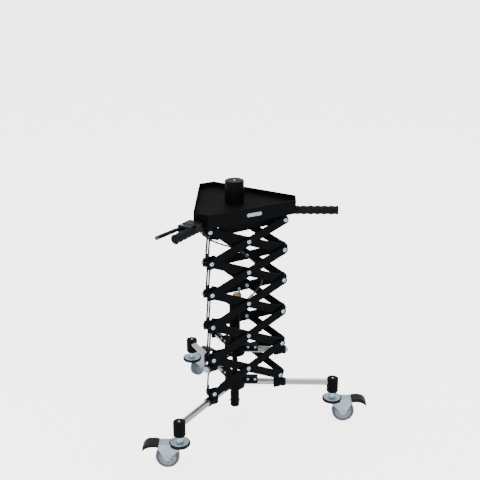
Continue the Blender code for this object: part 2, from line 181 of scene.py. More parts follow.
world = bpy.data.worlds.new("studio")
world.use_nodes = True
world.node_tree.nodes["Background"].inputs["Color"].default_value = (1, 1, 1, 1)
world.node_tree.nodes["Background"].inputs["Strength"].default_value = 1.0
bpy.context.scene.world = world


def softbox(name, spot, aim, size, power):
    lamp = bpy.data.lights.new(name, "AREA")
    lamp.shape, lamp.size, lamp.energy = "DISK", size, power
    lamp_object = bpy.data.objects.new(name, lamp)
    lamp_object.matrix_world = Matrix.Translation(spot) @ (
        Vector(aim) - Vector(spot)
    ).to_track_quat("-Z", "Y").to_matrix().to_4x4()
    bpy.context.scene.collection.objects.link(lamp_object)


softbox("key", (-1.6, -1.8, 3.2), (0, 0, 0.4), 1.8, 42)
softbox("fill", (2.4, -1.4, 2.0), (0, 0, 0.4), 2.0, 16)
softbox("top", (0.2, 0.6, 3.4), (0, 0, 0.3), 2.4, 30)
softbox("low_front", (-1.1, -2.6, 1.0), (0, 0, 0.6), 0.9, 22)

# %% [markdown]
# ## Surface effects that several finishes share
# A finish is rarely one flat value. Powder coat has a fine orange peel, zinc
# plate is cloudy, and polished tube carries fine drawing lines. Each effect is
# a node group, built once, and each material feeds it its own numbers.


# %% Shader groups
def effect_group(name, inputs, outputs, build):
    group = bpy.data.node_groups.new(name, "ShaderNodeTree")
    for socket, kind, default in inputs:
        made = group.interface.new_socket(name=socket, in_out="INPUT", socket_type=kind)
        if default is not None:
            made.default_value = default
    for socket, kind in outputs:
        group.interface.new_socket(name=socket, in_out="OUTPUT", socket_type=kind)
    start, end = group.nodes.new("NodeGroupInput"), group.nodes.new("NodeGroupOutput")
    where = put(group, "ShaderNodeTexCoord").outputs["Object"]
    for socket, result in build(group, start.outputs, where).items():
        group.links.new(result, end.inputs[socket])
    return group


def noise(tree, where, scale, detail=3.0, rough=0.5):
    return put(
        tree, "ShaderNodeTexNoise", {"Vector": where, "Scale": scale, "Detail": detail, "Roughness": rough}
    ).outputs["Fac"]


def between(tree, value, low, high):
    """Maps 0..1 to low..high."""
    return put(tree, "ShaderNodeMapRange", {"Value": value, "To Min": low, "To Max": high}).outputs["Result"]


def blend_colour(tree, factor, first, second):
    node = put(tree, "ShaderNodeMix", data_type="RGBA")
    for socket, value in ((node.inputs[0], factor), (node.inputs[6], first), (node.inputs[7], second)):
        if isinstance(value, bpy.types.NodeSocket):
            tree.links.new(value, socket)
        else:
            socket.default_value = value
    return node.outputs[2]


EFFECT_OUTPUTS = [
    ("Color", "NodeSocketColor"),
    ("Roughness", "NodeSocketFloat"),
    ("Height", "NodeSocketFloat"),
]


def effect_inputs(scale, dark, light, rough_low, rough_high):
    return [
        ("Scale", "NodeSocketFloat", scale),
        ("Dark", "NodeSocketColor", dark),
        ("Light", "NodeSocketColor", light),
        ("Rough Low", "NodeSocketFloat", rough_low),
        ("Rough High", "NodeSocketFloat", rough_high),
    ]


def build_peel(tree, given, where):
    fine = noise(tree, where, given["Scale"], 2.0, 0.4)
    coarse = noise(tree, where, 38.0, 3.0, 0.6)
    tint = blend_colour(tree, coarse, given["Dark"], given["Light"])
    rough = between(tree, noise(tree, where, 14.0, 4.0, 0.65), given["Rough Low"], given["Rough High"])
    return {"Color": tint, "Roughness": rough, "Height": fine}


powder_peel = effect_group(
    "powder peel",
    effect_inputs(900.0, (0.006, 0.007, 0.009, 1), (0.012, 0.013, 0.016, 1), 0.34, 0.52),
    EFFECT_OUTPUTS,
    build_peel,
)


def build_cloud(tree, given, where):
    cells = put(tree, "ShaderNodeTexVoronoi", {"Vector": where, "Scale": given["Scale"]}).outputs["Distance"]
    drift = noise(tree, where, 60.0, 4.0, 0.7)
    mixed = put(tree, "ShaderNodeMath", {0: cells, 1: drift}, operation="MULTIPLY").outputs[0]
    tint = blend_colour(tree, mixed, given["Light"], given["Dark"])
    rough = between(tree, drift, given["Rough Low"], given["Rough High"])
    return {"Color": tint, "Roughness": rough, "Height": drift}


plating_cloud = effect_group(
    "plating cloud",
    effect_inputs(160.0, (0.30, 0.36, 0.42, 1), (0.62, 0.68, 0.74, 1), 0.22, 0.42),
    EFFECT_OUTPUTS,
    build_cloud,
)


def build_drawn(tree, given, where):
    lines = noise(tree, where, given["Scale"], 5.0, 0.75)
    rough = between(tree, lines, given["Rough Low"], given["Rough High"])
    tint = blend_colour(tree, lines, given["Dark"], given["Light"])
    return {"Color": tint, "Roughness": rough, "Height": lines}


drawn_metal = effect_group(
    "drawn metal",
    effect_inputs(260.0, (0.42, 0.43, 0.45, 1), (0.60, 0.61, 0.63, 1), 0.12, 0.26),
    EFFECT_OUTPUTS,
    build_drawn,
)


# %% Materials
def finish(name, group, settings, metallic=0.0, bump=0.1, bump_size=0.0002, **sockets):
    material, tree, surface = blank_material(
        name, settings.get("Light", (0.1, 0.1, 0.1, 1))[:3], metallic, 0.4, **sockets
    )
    effect = put(tree, "ShaderNodeGroup", node_tree=group)
    for key, value in settings.items():
        effect.inputs[key].default_value = value
    tree.links.new(effect.outputs["Color"], surface.inputs["Base Color"])
    tree.links.new(effect.outputs["Roughness"], surface.inputs["Roughness"])
    dents = put(
        tree,
        "ShaderNodeBump",
        {"Strength": bump, "Distance": bump_size, "Height": effect.outputs["Height"]}
    )
    tree.links.new(dents.outputs["Normal"], surface.inputs["Normal"])
    return material


powder_black = finish(
    "powder black",
    powder_peel,
    {"Dark": (0.0014, 0.0018, 0.0025, 1), "Light": (0.0026, 0.0034, 0.0044, 1)},
    Specular_IOR_Level=0.05,
    bump=0.25
)
tray_black = finish(
    "tray floor black",
    powder_peel,
    {
        "Scale": 500.0, "Dark": (0.0020, 0.0019, 0.0019, 1), "Light": (0.0040, 0.0037, 0.0035, 1),
        "Rough Low": 0.55, "Rough High": 0.75
    },
    Specular_IOR_Level=0.035,
    bump=0.5
)
drum_black = finish(
    "drum black",
    powder_peel,
    {
        "Scale": 1400.0, "Dark": (0.002, 0.0022, 0.003, 1), "Light": (0.003, 0.0038, 0.0055, 1),
        "Rough Low": 0.28, "Rough High": 0.36
    },
    Specular_IOR_Level=0.06,
    bump=0.08
)
bright_zinc = finish(
    "bright zinc",
    plating_cloud,
    {"Light": (0.52, 0.68, 0.78, 1), "Dark": (0.26, 0.38, 0.48, 1), "Rough Low": 0.16, "Rough High": 0.30},
    metallic=1.0,
    bump=0.06
)
dull_zinc = finish(
    "dull zinc",
    plating_cloud,
    {
        "Scale": 110.0, "Light": (0.52, 0.61, 0.66, 1), "Dark": (0.30, 0.37, 0.43, 1), "Rough Low": 0.34,
        "Rough High": 0.55
    },
    metallic=0.85,
    bump=0.12
)
chrome_tube = finish("chrome tube", drawn_metal, {}, metallic=1.0, bump=0.03)
brass = finish(
    "brass",
    drawn_metal,
    {"Dark": (0.42, 0.27, 0.10, 1), "Light": (0.62, 0.43, 0.17, 1), "Rough Low": 0.2, "Rough High": 0.34},
    metallic=1.0,
    bump=0.05
)
grip_rubber = finish(
    "grip rubber",
    powder_peel,
    {
        "Scale": 700.0, "Dark": (0.0024, 0.0036, 0.0055, 1), "Light": (0.0050, 0.0074, 0.0105, 1),
        "Rough Low": 0.48, "Rough High": 0.62
    },
    Specular_IOR_Level=0.09,
    bump=0.3
)
black_plastic = finish(
    "black plastic",
    powder_peel,
    {
        "Scale": 1100.0, "Dark": (0.0025, 0.0028, 0.0032, 1), "Light": (0.0050, 0.0054, 0.0060, 1),
        "Rough Low": 0.3, "Rough High": 0.42
    },
    Specular_IOR_Level=0.14,
    bump=0.12
)
tyre_grey = finish(
    "tyre grey",
    powder_peel,
    {
        "Scale": 420.0, "Dark": (0.060, 0.070, 0.092, 1), "Light": (0.090, 0.102, 0.130, 1),
        "Rough Low": 0.45, "Rough High": 0.62
    },
    bump=0.25
)
hub_grey = finish(
    "hub grey",
    powder_peel,
    {
        "Scale": 800.0, "Dark": (0.28, 0.32, 0.36, 1), "Light": (0.38, 0.42, 0.46, 1), "Rough Low": 0.32,
        "Rough High": 0.46
    },
    bump=0.1
)
bush_polymer = finish(
    "bush polymer",
    powder_peel,
    {
        "Scale": 800.0, "Dark": (0.020, 0.026, 0.036, 1), "Light": (0.040, 0.050, 0.066, 1),
        "Rough Low": 0.25, "Rough High": 0.38
    },
    bump=0.1
)
# Painted highlight: the lighter grey-blue of the lever's tip ring stands in for the highlight near the black
# lever's end.
tip_painted_highlight = finish(
    "tip painted highlight",
    powder_peel,
    {
        "Scale": 900.0, "Dark": (0.016, 0.024, 0.036, 1), "Light": (0.030, 0.042, 0.060, 1),
        "Rough Low": 0.34, "Rough High": 0.46
    },
    bump=0.12,
)
cable_black = finish(
    "cable black",
    powder_peel,
    {
        "Scale": 900.0, "Dark": (0.008, 0.008, 0.009, 1), "Light": (0.014, 0.014, 0.015, 1),
        "Rough Low": 0.30, "Rough High": 0.40
    },
    Specular_IOR_Level=0.45,
    bump=0.1,
)
print("materials", len(bpy.data.materials))

# %% [markdown]
# ## Making solid shapes
# Four small makers cover this stand. A prism is an outline with holes given a
# thickness, which is how sheet and bar are cut. A lathe turns a profile, which
# is how screws, wheels and drums are made. Booleans join and cut them, and a
# narrow bevel catches the light along each edge as on real painted steel.


# %% Shape makers
def mesh_from(bm):
    bmesh.ops.remove_doubles(bm, verts=bm.verts[:], dist=1e-7)
    bmesh.ops.recalc_face_normals(bm, faces=bm.faces[:])
    if bm.calc_volume(signed=True) < 0:
        bmesh.ops.reverse_faces(bm, faces=bm.faces[:])
    mesh = bpy.data.meshes.new("shape")
    bm.to_mesh(mesh)
    bm.free()
    return mesh


def placed(mesh, matrix):
    copy = mesh.copy()
    copy.transform(matrix)
    return copy


def ring(radius, sides, centre=(0.0, 0.0)):
    return [
        (
            centre[0] + radius * math.cos(2 * math.pi * i / sides),
            centre[1] + radius * math.sin(2 * math.pi * i / sides)
        )
        for i in range(sides)
    ]


def prism(outline, low, high, holes=()):
    bm = bmesh.new()
    edges = []
    for loop in (outline, *holes):
        points = [bm.verts.new((x, y, low)) for x, y in loop]
        edges += [bm.edges.new((points[i], points[(i + 1) % len(points)])) for i in range(len(points))]
    bmesh.ops.triangle_fill(bm, edges=edges, use_beauty=True, use_dissolve=False)
    grown = bmesh.ops.extrude_face_region(bm, geom=bm.faces[:], use_keep_orig=True)
    tops = [g for g in grown["geom"] if isinstance(g, bmesh.types.BMVert)]
    bmesh.ops.translate(bm, verts=tops, vec=(0, 0, high - low))
    return mesh_from(bm)


def lathe(profile, sides=48):
    bm = bmesh.new()
    rows = []
    for radius, height in profile:
        if radius == 0:
            rows.append([bm.verts.new((0, 0, height))] * sides)
        else:
            rows.append([bm.verts.new((x, y, height)) for x, y in ring(radius, sides)])
    pairs = list(zip(rows, rows[1:]))
    if profile[0][0] > 0 and profile[-1][0] > 0:
        pairs.append((rows[-1], rows[0]))
    for below, above in pairs:
        for i in range(sides):
            j = (i + 1) % sides
            corners = []
            for v in (below[i], below[j], above[j], above[i]):
                if v not in corners:
                    corners.append(v)
            bm.faces.new(corners)
    return mesh_from(bm)


def rod(start, end, radius, sides=32, bore=None):
    start, end = Vector(start), Vector(end)
    long = (end - start).length
    profile = [(bore or 0, 0), (radius, 0), (radius, long), (bore or 0, long)]
    return placed(lathe(profile, sides), facing(end - start, start))


def block(low, high):
    return prism(
        [(low[0], low[1]), (high[0], low[1]), (high[0], high[1]), (low[0], high[1])], low[2], high[2]
    )


def plain(thing):
    """The evaluated object as a plain mesh, with the object itself removed."""
    graph = bpy.context.evaluated_depsgraph_get()
    result = bpy.data.meshes.new_from_object(thing.evaluated_get(graph))
    bpy.data.objects.remove(thing, do_unlink=True)
    return result


def loose(mesh, name="work"):
    thing = bpy.data.objects.new(name, mesh)
    bpy.context.scene.collection.objects.link(thing)
    return thing


def combined(first, others, operation):
    body, tools = loose(first), []
    for other in others:
        tools.append(loose(other))
        step = body.modifiers.new("step", "BOOLEAN")
        step.operation, step.solver, step.object = operation, "MANIFOLD", tools[-1]
    result = plain(body)
    for tool in tools:
        bpy.data.objects.remove(tool, do_unlink=True)
    return result


def joined(*meshes):
    return combined(meshes[0], meshes[1:], "UNION")


def cut(mesh, *cutters):
    return combined(mesh, cutters, "DIFFERENCE")


def softened(mesh, width=0.0006, segments=2, angle=32):
    """Merges flat facets, then bevels every real edge."""
    bm = bmesh.new()
    bm.from_mesh(mesh)
    bmesh.ops.remove_doubles(bm, verts=bm.verts[:], dist=1e-6)
    bmesh.ops.dissolve_limit(bm, angle_limit=math.radians(0.5), verts=bm.verts[:], edges=bm.edges[:])
    bm.to_mesh(mesh)
    bm.free()
    thing = loose(mesh)
    edge = thing.modifiers.new("edge", "BEVEL")
    edge.width, edge.segments, edge.limit_method, edge.angle_limit = width, segments, "ANGLE", math.radians(
        angle
    )
    edge.use_clamp_overlap = True
    return plain(thing)


made_pieces = []


def piece(name, mesh, material, body, replaces=(), smooth=50):
    """Finishes one piece: place, material, shading, body, and hides the engineering parts it replaces."""
    mesh.transform(Matrix.Translation(LIFT_AXIS))
    mesh.materials.clear()
    mesh.materials.append(material)
    mesh.shade_smooth()
    mesh.set_sharp_from_angle(angle=math.radians(smooth))
    thing = loose(mesh, name)
    even = thing.modifiers.new("even", "WEIGHTED_NORMAL")
    even.mode, even.keep_sharp = "FACE_AREA", True
    thing = loose(plain(thing), name)
    thing.data.name = name
    if body:
        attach(thing, body)
    if replaces:
        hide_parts(*replaces)
    made_pieces.append(thing)
    return thing


# %% [markdown]
# ## Screws by Geometry Nodes
# Fifty-odd identical domed screws hold the lift together. Drawing each one is
# a waste, so a small Geometry Nodes tree sets one screw on every point of a
# mesh and turns it to face along the point's own direction. Which pattern it
# sets and how large are inputs, so one tree also sets the nuts and washers.


# %% The screw tree
def geometry_tree(name, inputs):
    tree = bpy.data.node_groups.new(name, "GeometryNodeTree")
    tree.interface.new_socket(name="Geometry", in_out="INPUT", socket_type="NodeSocketGeometry")
    for socket, kind, default in inputs:
        made = tree.interface.new_socket(name=socket, in_out="INPUT", socket_type=kind)
        if default is not None:
            made.default_value = default
    tree.interface.new_socket(name="Geometry", in_out="OUTPUT", socket_type="NodeSocketGeometry")
    return tree, tree.nodes.new("NodeGroupInput").outputs, tree.nodes.new("NodeGroupOutput")


def socket_id(tree, name):
    return next(
        s.identifier
        for s in tree.interface.items_tree
        if s.name == name and s.in_out == "INPUT" and s.item_type == "SOCKET"
    )


def grown(tree, mesh, **inputs):
    """Runs a tree on a mesh and returns the result as a plain mesh."""
    thing = loose(mesh)
    step = thing.modifiers.new("grow", "NODES")
    step.node_group = tree
    for key, value in inputs.items():
        step[socket_id(tree, key.replace("_", " "))] = value
    return plain(thing)


def maths(tree, operation, first, second):
    return put(tree, "ShaderNodeMath", {0: first, 1: second}, operation=operation).outputs[0]


def build_screw_tree():
    tree, given, end = geometry_tree(
        "screws on points",
        [
            ("Screw", "NodeSocketObject", None),
            ("Size", "NodeSocketFloat", 1.0),
            ("Plating", "NodeSocketMaterial", None),
        ],
    )
    screw = put(
        tree, "GeometryNodeObjectInfo", {"Object": given["Screw"]}, transform_space="ORIGINAL"
    ).outputs["Geometry"]
    out = put(
        tree, "GeometryNodeInputNamedAttribute", {"Name": "out"}, data_type="FLOAT_VECTOR"
    ).outputs["Attribute"]
    turn = put(tree, "FunctionNodeAlignRotationToVector", {"Vector": out}, axis="Z").outputs[0]
    on_points = put(
        tree,
        "GeometryNodeInstanceOnPoints",
        {"Points": given["Geometry"], "Instance": screw, "Rotation": turn, "Scale": given["Size"]}
    )
    real = put(tree, "GeometryNodeRealizeInstances", {"Geometry": on_points.outputs[0]}).outputs[0]
    coated = put(tree, "GeometryNodeSetMaterial", {"Geometry": real, "Material": given["Plating"]}).outputs[0]
    tree.links.new(coated, end.inputs[0])
    return tree


screw_tree = build_screw_tree()


def seats(spots):
    """A mesh of points, each with the direction its screw faces."""
    mesh = bpy.data.meshes.new("seats")
    mesh.from_pydata([tuple(p) for p, _ in spots], [], [])
    out = mesh.attributes.new("out", "FLOAT_VECTOR", "POINT")
    for item, (_, direction) in zip(out.data, spots):
        item.vector = direction
    return mesh


def dome_screw(radius, height, shaft, depth, socket):
    """A domed head with a hexagon recess, on a plain shaft, seated at z = 0."""
    arc = [
        (radius * math.cos(math.radians(t)), height * (0.18 + 0.82 * math.sin(math.radians(t))))
        for t in range(0, 85, 12)
    ]
    head = lathe([(0, -depth), (shaft, -depth), (shaft, 0), (radius * 0.97, 0), *arc, (0, height)], 32)
    return cut(head, prism(ring(socket, 6), height * 0.45, height * 2))


corner_screw = loose(dome_screw(0.0072, 0.0042, 0.0032, 0.0118, 0.0022), "pattern_corner_screw")
hub_screw = loose(dome_screw(0.0046, 0.0030, 0.0022, 0.0050, 0.0015), "pattern_hub_screw")
hex_nut = loose(
    softened(
        cut(prism(ring(0.0066, 6), 0, 0.0050), rod((0, 0, -0.001), (0, 0, 0.006), 0.0031, 20)), 0.0004, 1
    ),
    "pattern_nut"
)
flat_washer = loose(
    softened(lathe([(0.0034, 0), (0.0078, 0), (0.0078, 0.0013), (0.0034, 0.0013)], 36), 0.0003, 1),
    "pattern_washer"
)
patterns = (corner_screw, hub_screw, hex_nut, flat_washer)


def screws(name, spots, pattern, material, body, size=1.0):
    mesh = grown(screw_tree, seats(spots), Screw=pattern, Size=size, Plating=material)
    return piece(name, mesh, material, body, smooth=38)


print("screw faces", len(corner_screw.data.polygons))

# %% [markdown]
# ## The scissor bars
# Thirty flat bars, in two layers on each side, make the lift. They are cut
# from 4 mm strip with clipped ends, so a prism with three holes is all they
# need. The outer bars rise to the right and the inner ones to the left.


# %% Scissor bars
TIGHT_HOLE, CROSSING_HOLE, LOOSE_HOLE = 0.0036, 0.0034, 0.0066


def bar_outline():
    near = [
        (-0.003, -BAR_HALF), (-0.0085, -0.0104), (-BAR_END, -0.005), (-BAR_END, 0.005), (-0.0085, 0.0104),
        (-0.003, BAR_HALF)
    ]
    return near + [(BAR_LENGTH - x, y) for x, y in reversed(near)]


def flat_bar(layer, middle_hole, middle):
    holes = [ring(TIGHT_HOLE, 24), ring(middle_hole, 24, (middle, 0)), ring(LOOSE_HOLE, 24, (BAR_LENGTH, 0))]
    return softened(prism(bar_outline(), *layer, holes=holes), 0.0007, 2)


for tier in range(1, 6):
    low, high = LEVEL_HALF[tier - 1], LEVEL_HALF[tier]
    z = LEVEL_Z[tier - 1]
    lean = math.asin((LEVEL_Z[tier] - z) / BAR_LENGTH)
    middle = BAR_LENGTH * low / (low + high)
    up_at = moved(-low, z, 0) @ Matrix.Rotation(lean, 4, "Z")
    down_at = moved(low, z, 0) @ Matrix.Rotation(math.pi - lean, 4, "Z")
    outer = flat_bar(OUTER_BAR, LOOSE_HOLE, middle)
    inner = flat_bar(INNER_BAR, CROSSING_HOLE, middle)
    for side, spin in SIDES.items():
        at = turned(spin) @ SIDE_AB
        out = at.to_3x3() @ Vector((0, 0, 1))
        piece(
            f"strip_{side}_up_{tier}", placed(outer, at @ up_at), powder_black, f"bar_{side}_up_{tier}",
            [f"bar_{side}_up_{tier}"]
        )
        body = f"bar_{side}_down_{tier}"
        piece(
            f"strip_{side}_down_{tier}", placed(inner, at @ down_at), powder_black, body,
            [body]
        )
        cross = at @ down_at
        screws(
            f"crossing_screw_{side}_{tier}",
            [(cross @ Vector((middle, 0, OUTER_BAR[1] + 0.0003)), out)],
            corner_screw,
            bright_zinc,
            body
        )
        screws(
            f"crossing_nut_{side}_{tier}",
            [(cross @ Vector((middle, 0, INNER_BAR[0])), -out)],
            hex_nut,
            dull_zinc,
            body
        )
        screws(
            f"crossing_washer_{side}_{tier}",
            [(cross @ Vector((middle, 0, INNER_BAR[1])), out)],
            flat_washer,
            black_plastic,
            body,
        )
print("bars", 30)

# %% [markdown]
# ## Folded corner plates and sliding blocks
# Where two sides meet, a folded plate carries both of their bolts. On the
# middle levels that is all there is. On the lowest, second and top levels the
# plate wraps a sleeve that slides on a round tube, with a plain bush in its
# mouth, which is what lets the lift grow wider as it sinks.


# %% Corner plates and blocks
def vee(z_low, z_high, inside=PLATE_IN, outside=PLATE_OUT, reach=0.112):
    def on_ab(distance, along_side):
        spot = heading(-60) * distance + heading(30) * along_side
        return (spot.x, spot.y)

    def fold(distance, radius, steps=5):
        """The rounded fold at the nose, from side ab to the corner's own line."""
        tip = Vector(on_ab(distance, math.sqrt(3) * distance - radius * math.sqrt(3)))
        centre = tip - Vector((heading(-60).x, heading(-60).y)) * radius
        return [
            (centre.x + radius * math.cos(math.radians(a)), centre.y + radius * math.sin(math.radians(a)))
            for a in [-60 + 60 * i / steps for i in range(steps + 1)]
        ]

    first = [on_ab(outside, reach), *fold(outside, 0.0050)]
    last = [on_ab(inside, reach), *fold(inside, 0.0022)]
    outline = first + [(x, -y) for x, y in reversed(first[:-1])]
    outline += [(x, -y) for x, y in last[:-1]] + list(reversed(last))
    return prism(outline, z_low, z_high)


def sleeve(tube_z, below, above, start, flange):
    wide, tip = 0.0165, 2 * flange - 0.0055
    back = 2 * flange - math.sqrt(3) * wide
    outline = [(start, -wide), (back, -wide), (tip, -0.0030), (tip, 0.0030), (back, wide), (start, wide)]
    return prism(outline, tube_z - below, tube_z + above)


def corner_seats(level, corner, inside=PLATE_IN):
    """Where the two screws and the two nuts of a corner sit."""
    half, z = LEVEL_HALF[level], LEVEL_Z[level]
    full, short = OUTER_BAR[1] + 0.0003, INNER_BAR[1] + 0.0003
    on_ab, on_bc = {0: (short, full), 5: (full, short)}.get(level, (full, full))
    heads, backs = [], []
    for at, x, seat in ((SIDE_AB, half, on_ab), (SIDE_BC, -half, on_bc)):
        at = turned(CORNERS[corner]) @ at
        out = at.to_3x3() @ Vector((0, 0, 1))
        heads.append((at @ Vector((x, z, seat)), out))
        backs.append((at @ Vector((x, z, inside)), -out))
    return heads, backs


def spacer(level, corner):
    """The plain collar that fills the place of the missing bar."""
    if level == 0:
        at, x, span, wide = SIDE_BC, -LEVEL_HALF[0], (PLATE_OUT - 0.0005, OUTER_BAR[0] - 0.0005), 0.0075
    else:
        at, x, span, wide = SIDE_AB, LEVEL_HALF[5], (PLATE_OUT - 0.0037, OUTER_BAR[0] - 0.0005), 0.0058
    return placed(
        rod((x, LEVEL_Z[level], span[0]), (x, LEVEL_Z[level], span[1]), wide, 28),
        turned(CORNERS[corner]) @ at
    )


def dress_corner(name, level, mesh, bush_at=None, inside=PLATE_IN):
    for corner, spin in CORNERS.items():
        node = name.format(corner)
        piece("plate_" + node, placed(mesh, turned(spin)), powder_black, node, [node])
        heads, backs = corner_seats(level, corner, inside)
        screws("screws_" + node, heads, corner_screw, bright_zinc, node)
        screws("nuts_" + node, backs, hex_nut, dull_zinc, node)
        if level in (0, 5):
            piece("collar_" + node, spacer(level, corner), powder_black, node)
        else:
            between_bars = [(spot - out * (OUTER_BAR[1] - INNER_BAR[1] - 0.0002), out) for spot, out in heads]
            screws("washers_" + node, between_bars, flat_washer, black_plastic, node)
        if bush_at:
            tube_z, start, end = bush_at
            bush = lathe(
                [
                    (0.0109, start), (0.0128, start), (0.0128, end - 0.0008), (0.0120, end), (0.0113, end),
                    (0.0109, end - 0.0004)
                ],
                40
            )
            clamp = lathe(
                [
                    (0.0129, start + 0.001), (0.0144, start + 0.001), (0.0144, end - 0.0040),
                    (0.0138, end - 0.0032), (0.0129, end - 0.0032)
                ],
                40
            )
            cuff = lathe(
                [(0.0111, 0.1380), (0.0132, 0.1380), (0.0132, start + 0.0006), (0.0111, start + 0.0006)], 40
            )
            for label, shape, material in (
                ("bush_", bush, bush_polymer), ("ring_", clamp, powder_black), ("cuff_", cuff, powder_black)
            ):
                shape = placed(shape, turned(spin) @ moved(0, 0, tube_z) @ facing((1, 0, 0)))
                piece(label + node, shape, material, node)


for level in (2, 3, 4):
    z = LEVEL_Z[level]
    dress_corner("corner_bracket_{}_" + str(level), level, softened(vee(z - 0.022, z + 0.022), 0.0007))


def sliding_block(tube_z, z_low, z_high):
    shell = joined(vee(z_low, z_high), sleeve(tube_z, 0.0130, 0.0165, 0.1300, PLATE_IN + 0.0012))
    bored = cut(
        shell,
        rod((0.1, 0, tube_z), (0.2, 0, tube_z), 0.0112, 40),
        rod((0.1545, 0, tube_z), (0.2, 0, tube_z), 0.0145, 40)
    )
    return softened(bored, 0.0007)


dress_corner(
    "leg_slider_{}", 0, sliding_block(LEG_Z, LEG_Z - 0.0130, LEVEL_Z[0] + 0.0165), (LEG_Z, 0.1550, 0.1720)
)
dress_corner(
    "lift_slider_{}",
    1,
    sliding_block(LIFT_Z, LIFT_Z - 0.0130, LEVEL_Z[1] + 0.0165),
    (LIFT_Z, 0.1550, 0.1700)
)
top_in, top_out = PLATE_IN - 0.0032, PLATE_OUT - 0.0032
top_block = joined(
    vee(LEVEL_Z[5] - 0.0160, RAIL_Z + 0.0150, top_in, top_out, 0.1100),
    sleeve(RAIL_Z, 0.0160, 0.0145, 0.1120, top_in + 0.0012)
)
top_block = cut(
    top_block,
    rod((0.1, 0, RAIL_Z), (0.2, 0, RAIL_Z), 0.0112, 40),
    rod((0.1475, 0, RAIL_Z), (0.2, 0, RAIL_Z), 0.0145, 40)
)
dress_corner("head_slider_{}", 5, softened(top_block, 0.0007), (RAIL_Z, 0.1480, 0.1660), top_in)
print("corner pieces so far", len(made_pieces))

# %% [markdown]
# ## The base
# The base is a hub with three clamping arms, three chromed legs and three
# black pods for the casters. It is one node in the engineering model, but on
# the real stand these are separate parts with different finishes, so each gets
# its own piece here, and all of them ride on the same body.


# %% Base
def saddle_arm(z, below, above):
    """An arm that sits over its tube like a saddle."""
    arm = block((0.020, -0.0130, z - below), (0.0770, 0.0130, z + above))
    return cut(arm, rod((0.036, 0, z), (0.09, 0, z), TUBE + 0.0001, 32))


def hub_with_arms(z, low, high, arm_low, arm_high, bore):
    body = joined(
        lathe([(0, z - low), (0.0340, z - low), (0.0340, z + high), (0, z + high)], 48),
        *[placed(saddle_arm(z, arm_low, arm_high), turned(spin)) for spin in CORNERS.values()]
    )
    return softened(cut(body, rod((0, 0, z - 0.08), (0, 0, z + 0.08), bore, 32)) if bore else body, 0.0009)


def arm_screws(z, rise, offset=0.0130):
    spots = []
    for spin in CORNERS.values():
        for x in (0.0440, 0.0680):
            for side in (-1, 1):
                spots.append(
                    (
                        turned(spin) @ Vector((x, side * offset, z + rise)),
                        turned(spin).to_3x3() @ Vector((0, side, 0))
                    )
                )
    return spots


piece(
    "base_hub",
    hub_with_arms(LEG_Z, 0.0170, 0.0240, 0.0020, 0.0200, None),
    powder_black,
    "base",
    ["base_spider"]
)
screws("base_hub_screws", arm_screws(LEG_Z, 0.0145), hub_screw, dull_zinc, "base")
piece(
    "strut_rod",
    rod((0, 0, LEG_Z + 0.0242), (0, 0, 0.4000), 0.0093, 40),
    powder_black,
    "base",
)
guard = lathe(
    [
        (0.0130, 0.0540), (0.0145, 0.0540), (0.0150, 0.0545), (0.0150, LEG_Z - 0.0172),
        (0.0130, LEG_Z - 0.0172)
    ],
    48
)
piece(
    "strut_guard",
    cut(guard, rod((-0.03, 0, 0.0730), (0.03, 0, 0.0730), 0.0034, 20)),
    powder_black,
    "base",
)
piece(
    "guard_pin", rod((-0.0165, 0, 0.0730), (0.0165, 0, 0.0730), 0.0032, 20), dull_zinc, "base"
)
screws(
    "guard_pin_ends",
    [(Vector((s * 0.0152, 0, 0.0730)), Vector((s, 0, 0))) for s in (-1, 1)],
    hub_screw,
    bright_zinc,
    "base"
)
for corner, spin in CORNERS.items():
    turn = turned(spin)
    piece(
        f"leg_tube_{corner}",
        placed(rod((0.0330, 0, LEG_Z), (POD_AT - 0.0180, 0, LEG_Z), TUBE, 48), turn),
        chrome_tube,
        "base",
    )
    pod = lathe(
        [
            (0, 0.1105), (0.0180, 0.1105), (0.0195, 0.1120), (0.0195, 0.1575), (0.0189, 0.1592),
            (0.0172, 0.1603), (0.0048, 0.1603), (0.0044, 0.1592), (0, 0.1592)
        ],
        56
    )
    piece(f"pod_{corner}", placed(pod, turn @ moved(POD_AT, 0, 0)), powder_black, "base")
    screws(
        f"pod_screw_{corner}", [(turn @ Vector((POD_AT, 0, 0.1592)), UP)], hub_screw, bright_zinc, "base",
        size=0.85
    )
    stem = lathe(
        [
            (0, 0.0742), (0.0060, 0.0742), (0.0060, 0.0902), (0.0135, 0.0902), (0.0139, 0.0915),
            (0.0139, 0.0975), (0.0128, 0.0990), (0.0128, 0.1104), (0, 0.1104)
        ],
        48
    )
    piece(
        f"king_pin_{corner}",
        placed(softened(stem, 0.0004), turn @ moved(POD_AT, 0, 0)),
        bright_zinc,
        "base",
    )

# %% [markdown]
# ## The lifting hub and strut
# The strut's cylinder pushes a second hub up along the rod. Three short tubes
# on that hub carry the second level's blocks, each kept on by an end bolt.
# On top are the release valve's brass disc and its threaded stud.

# %% Lifting hub
piece(
    "lift_hub_body",
    hub_with_arms(LIFT_Z, 0.0140, 0.0220, 0.0020, 0.0180, 0.0098),
    powder_black,
    "lift_hub",
    ["lift_spider"]
)
screws("lift_hub_screws", arm_screws(LIFT_Z, 0.0130), hub_screw, dull_zinc, "lift_hub")
cylinder = lathe(
    [(0, LIFT_Z + 0.0221), (0.0181, LIFT_Z + 0.0221), (0.0181, 0.4510), (0.0165, 0.4530), (0, 0.4530)], 56
)
cylinder = cut(cylinder, rod((0, 0, LIFT_Z), (0, 0, 0.4430), 0.0098, 40))
piece("strut_cylinder", softened(cylinder, 0.0006), powder_black, "lift_hub")
band = lathe([(0.01815, 0.4380), (0.0186, 0.4385), (0.0186, 0.4415), (0.01815, 0.4420)], 56)
piece("strut_band", band, black_plastic, "lift_hub")
VALVE, STUD = Vector((0.0085, 0, 0)), Vector((0.0150, 0, 0))
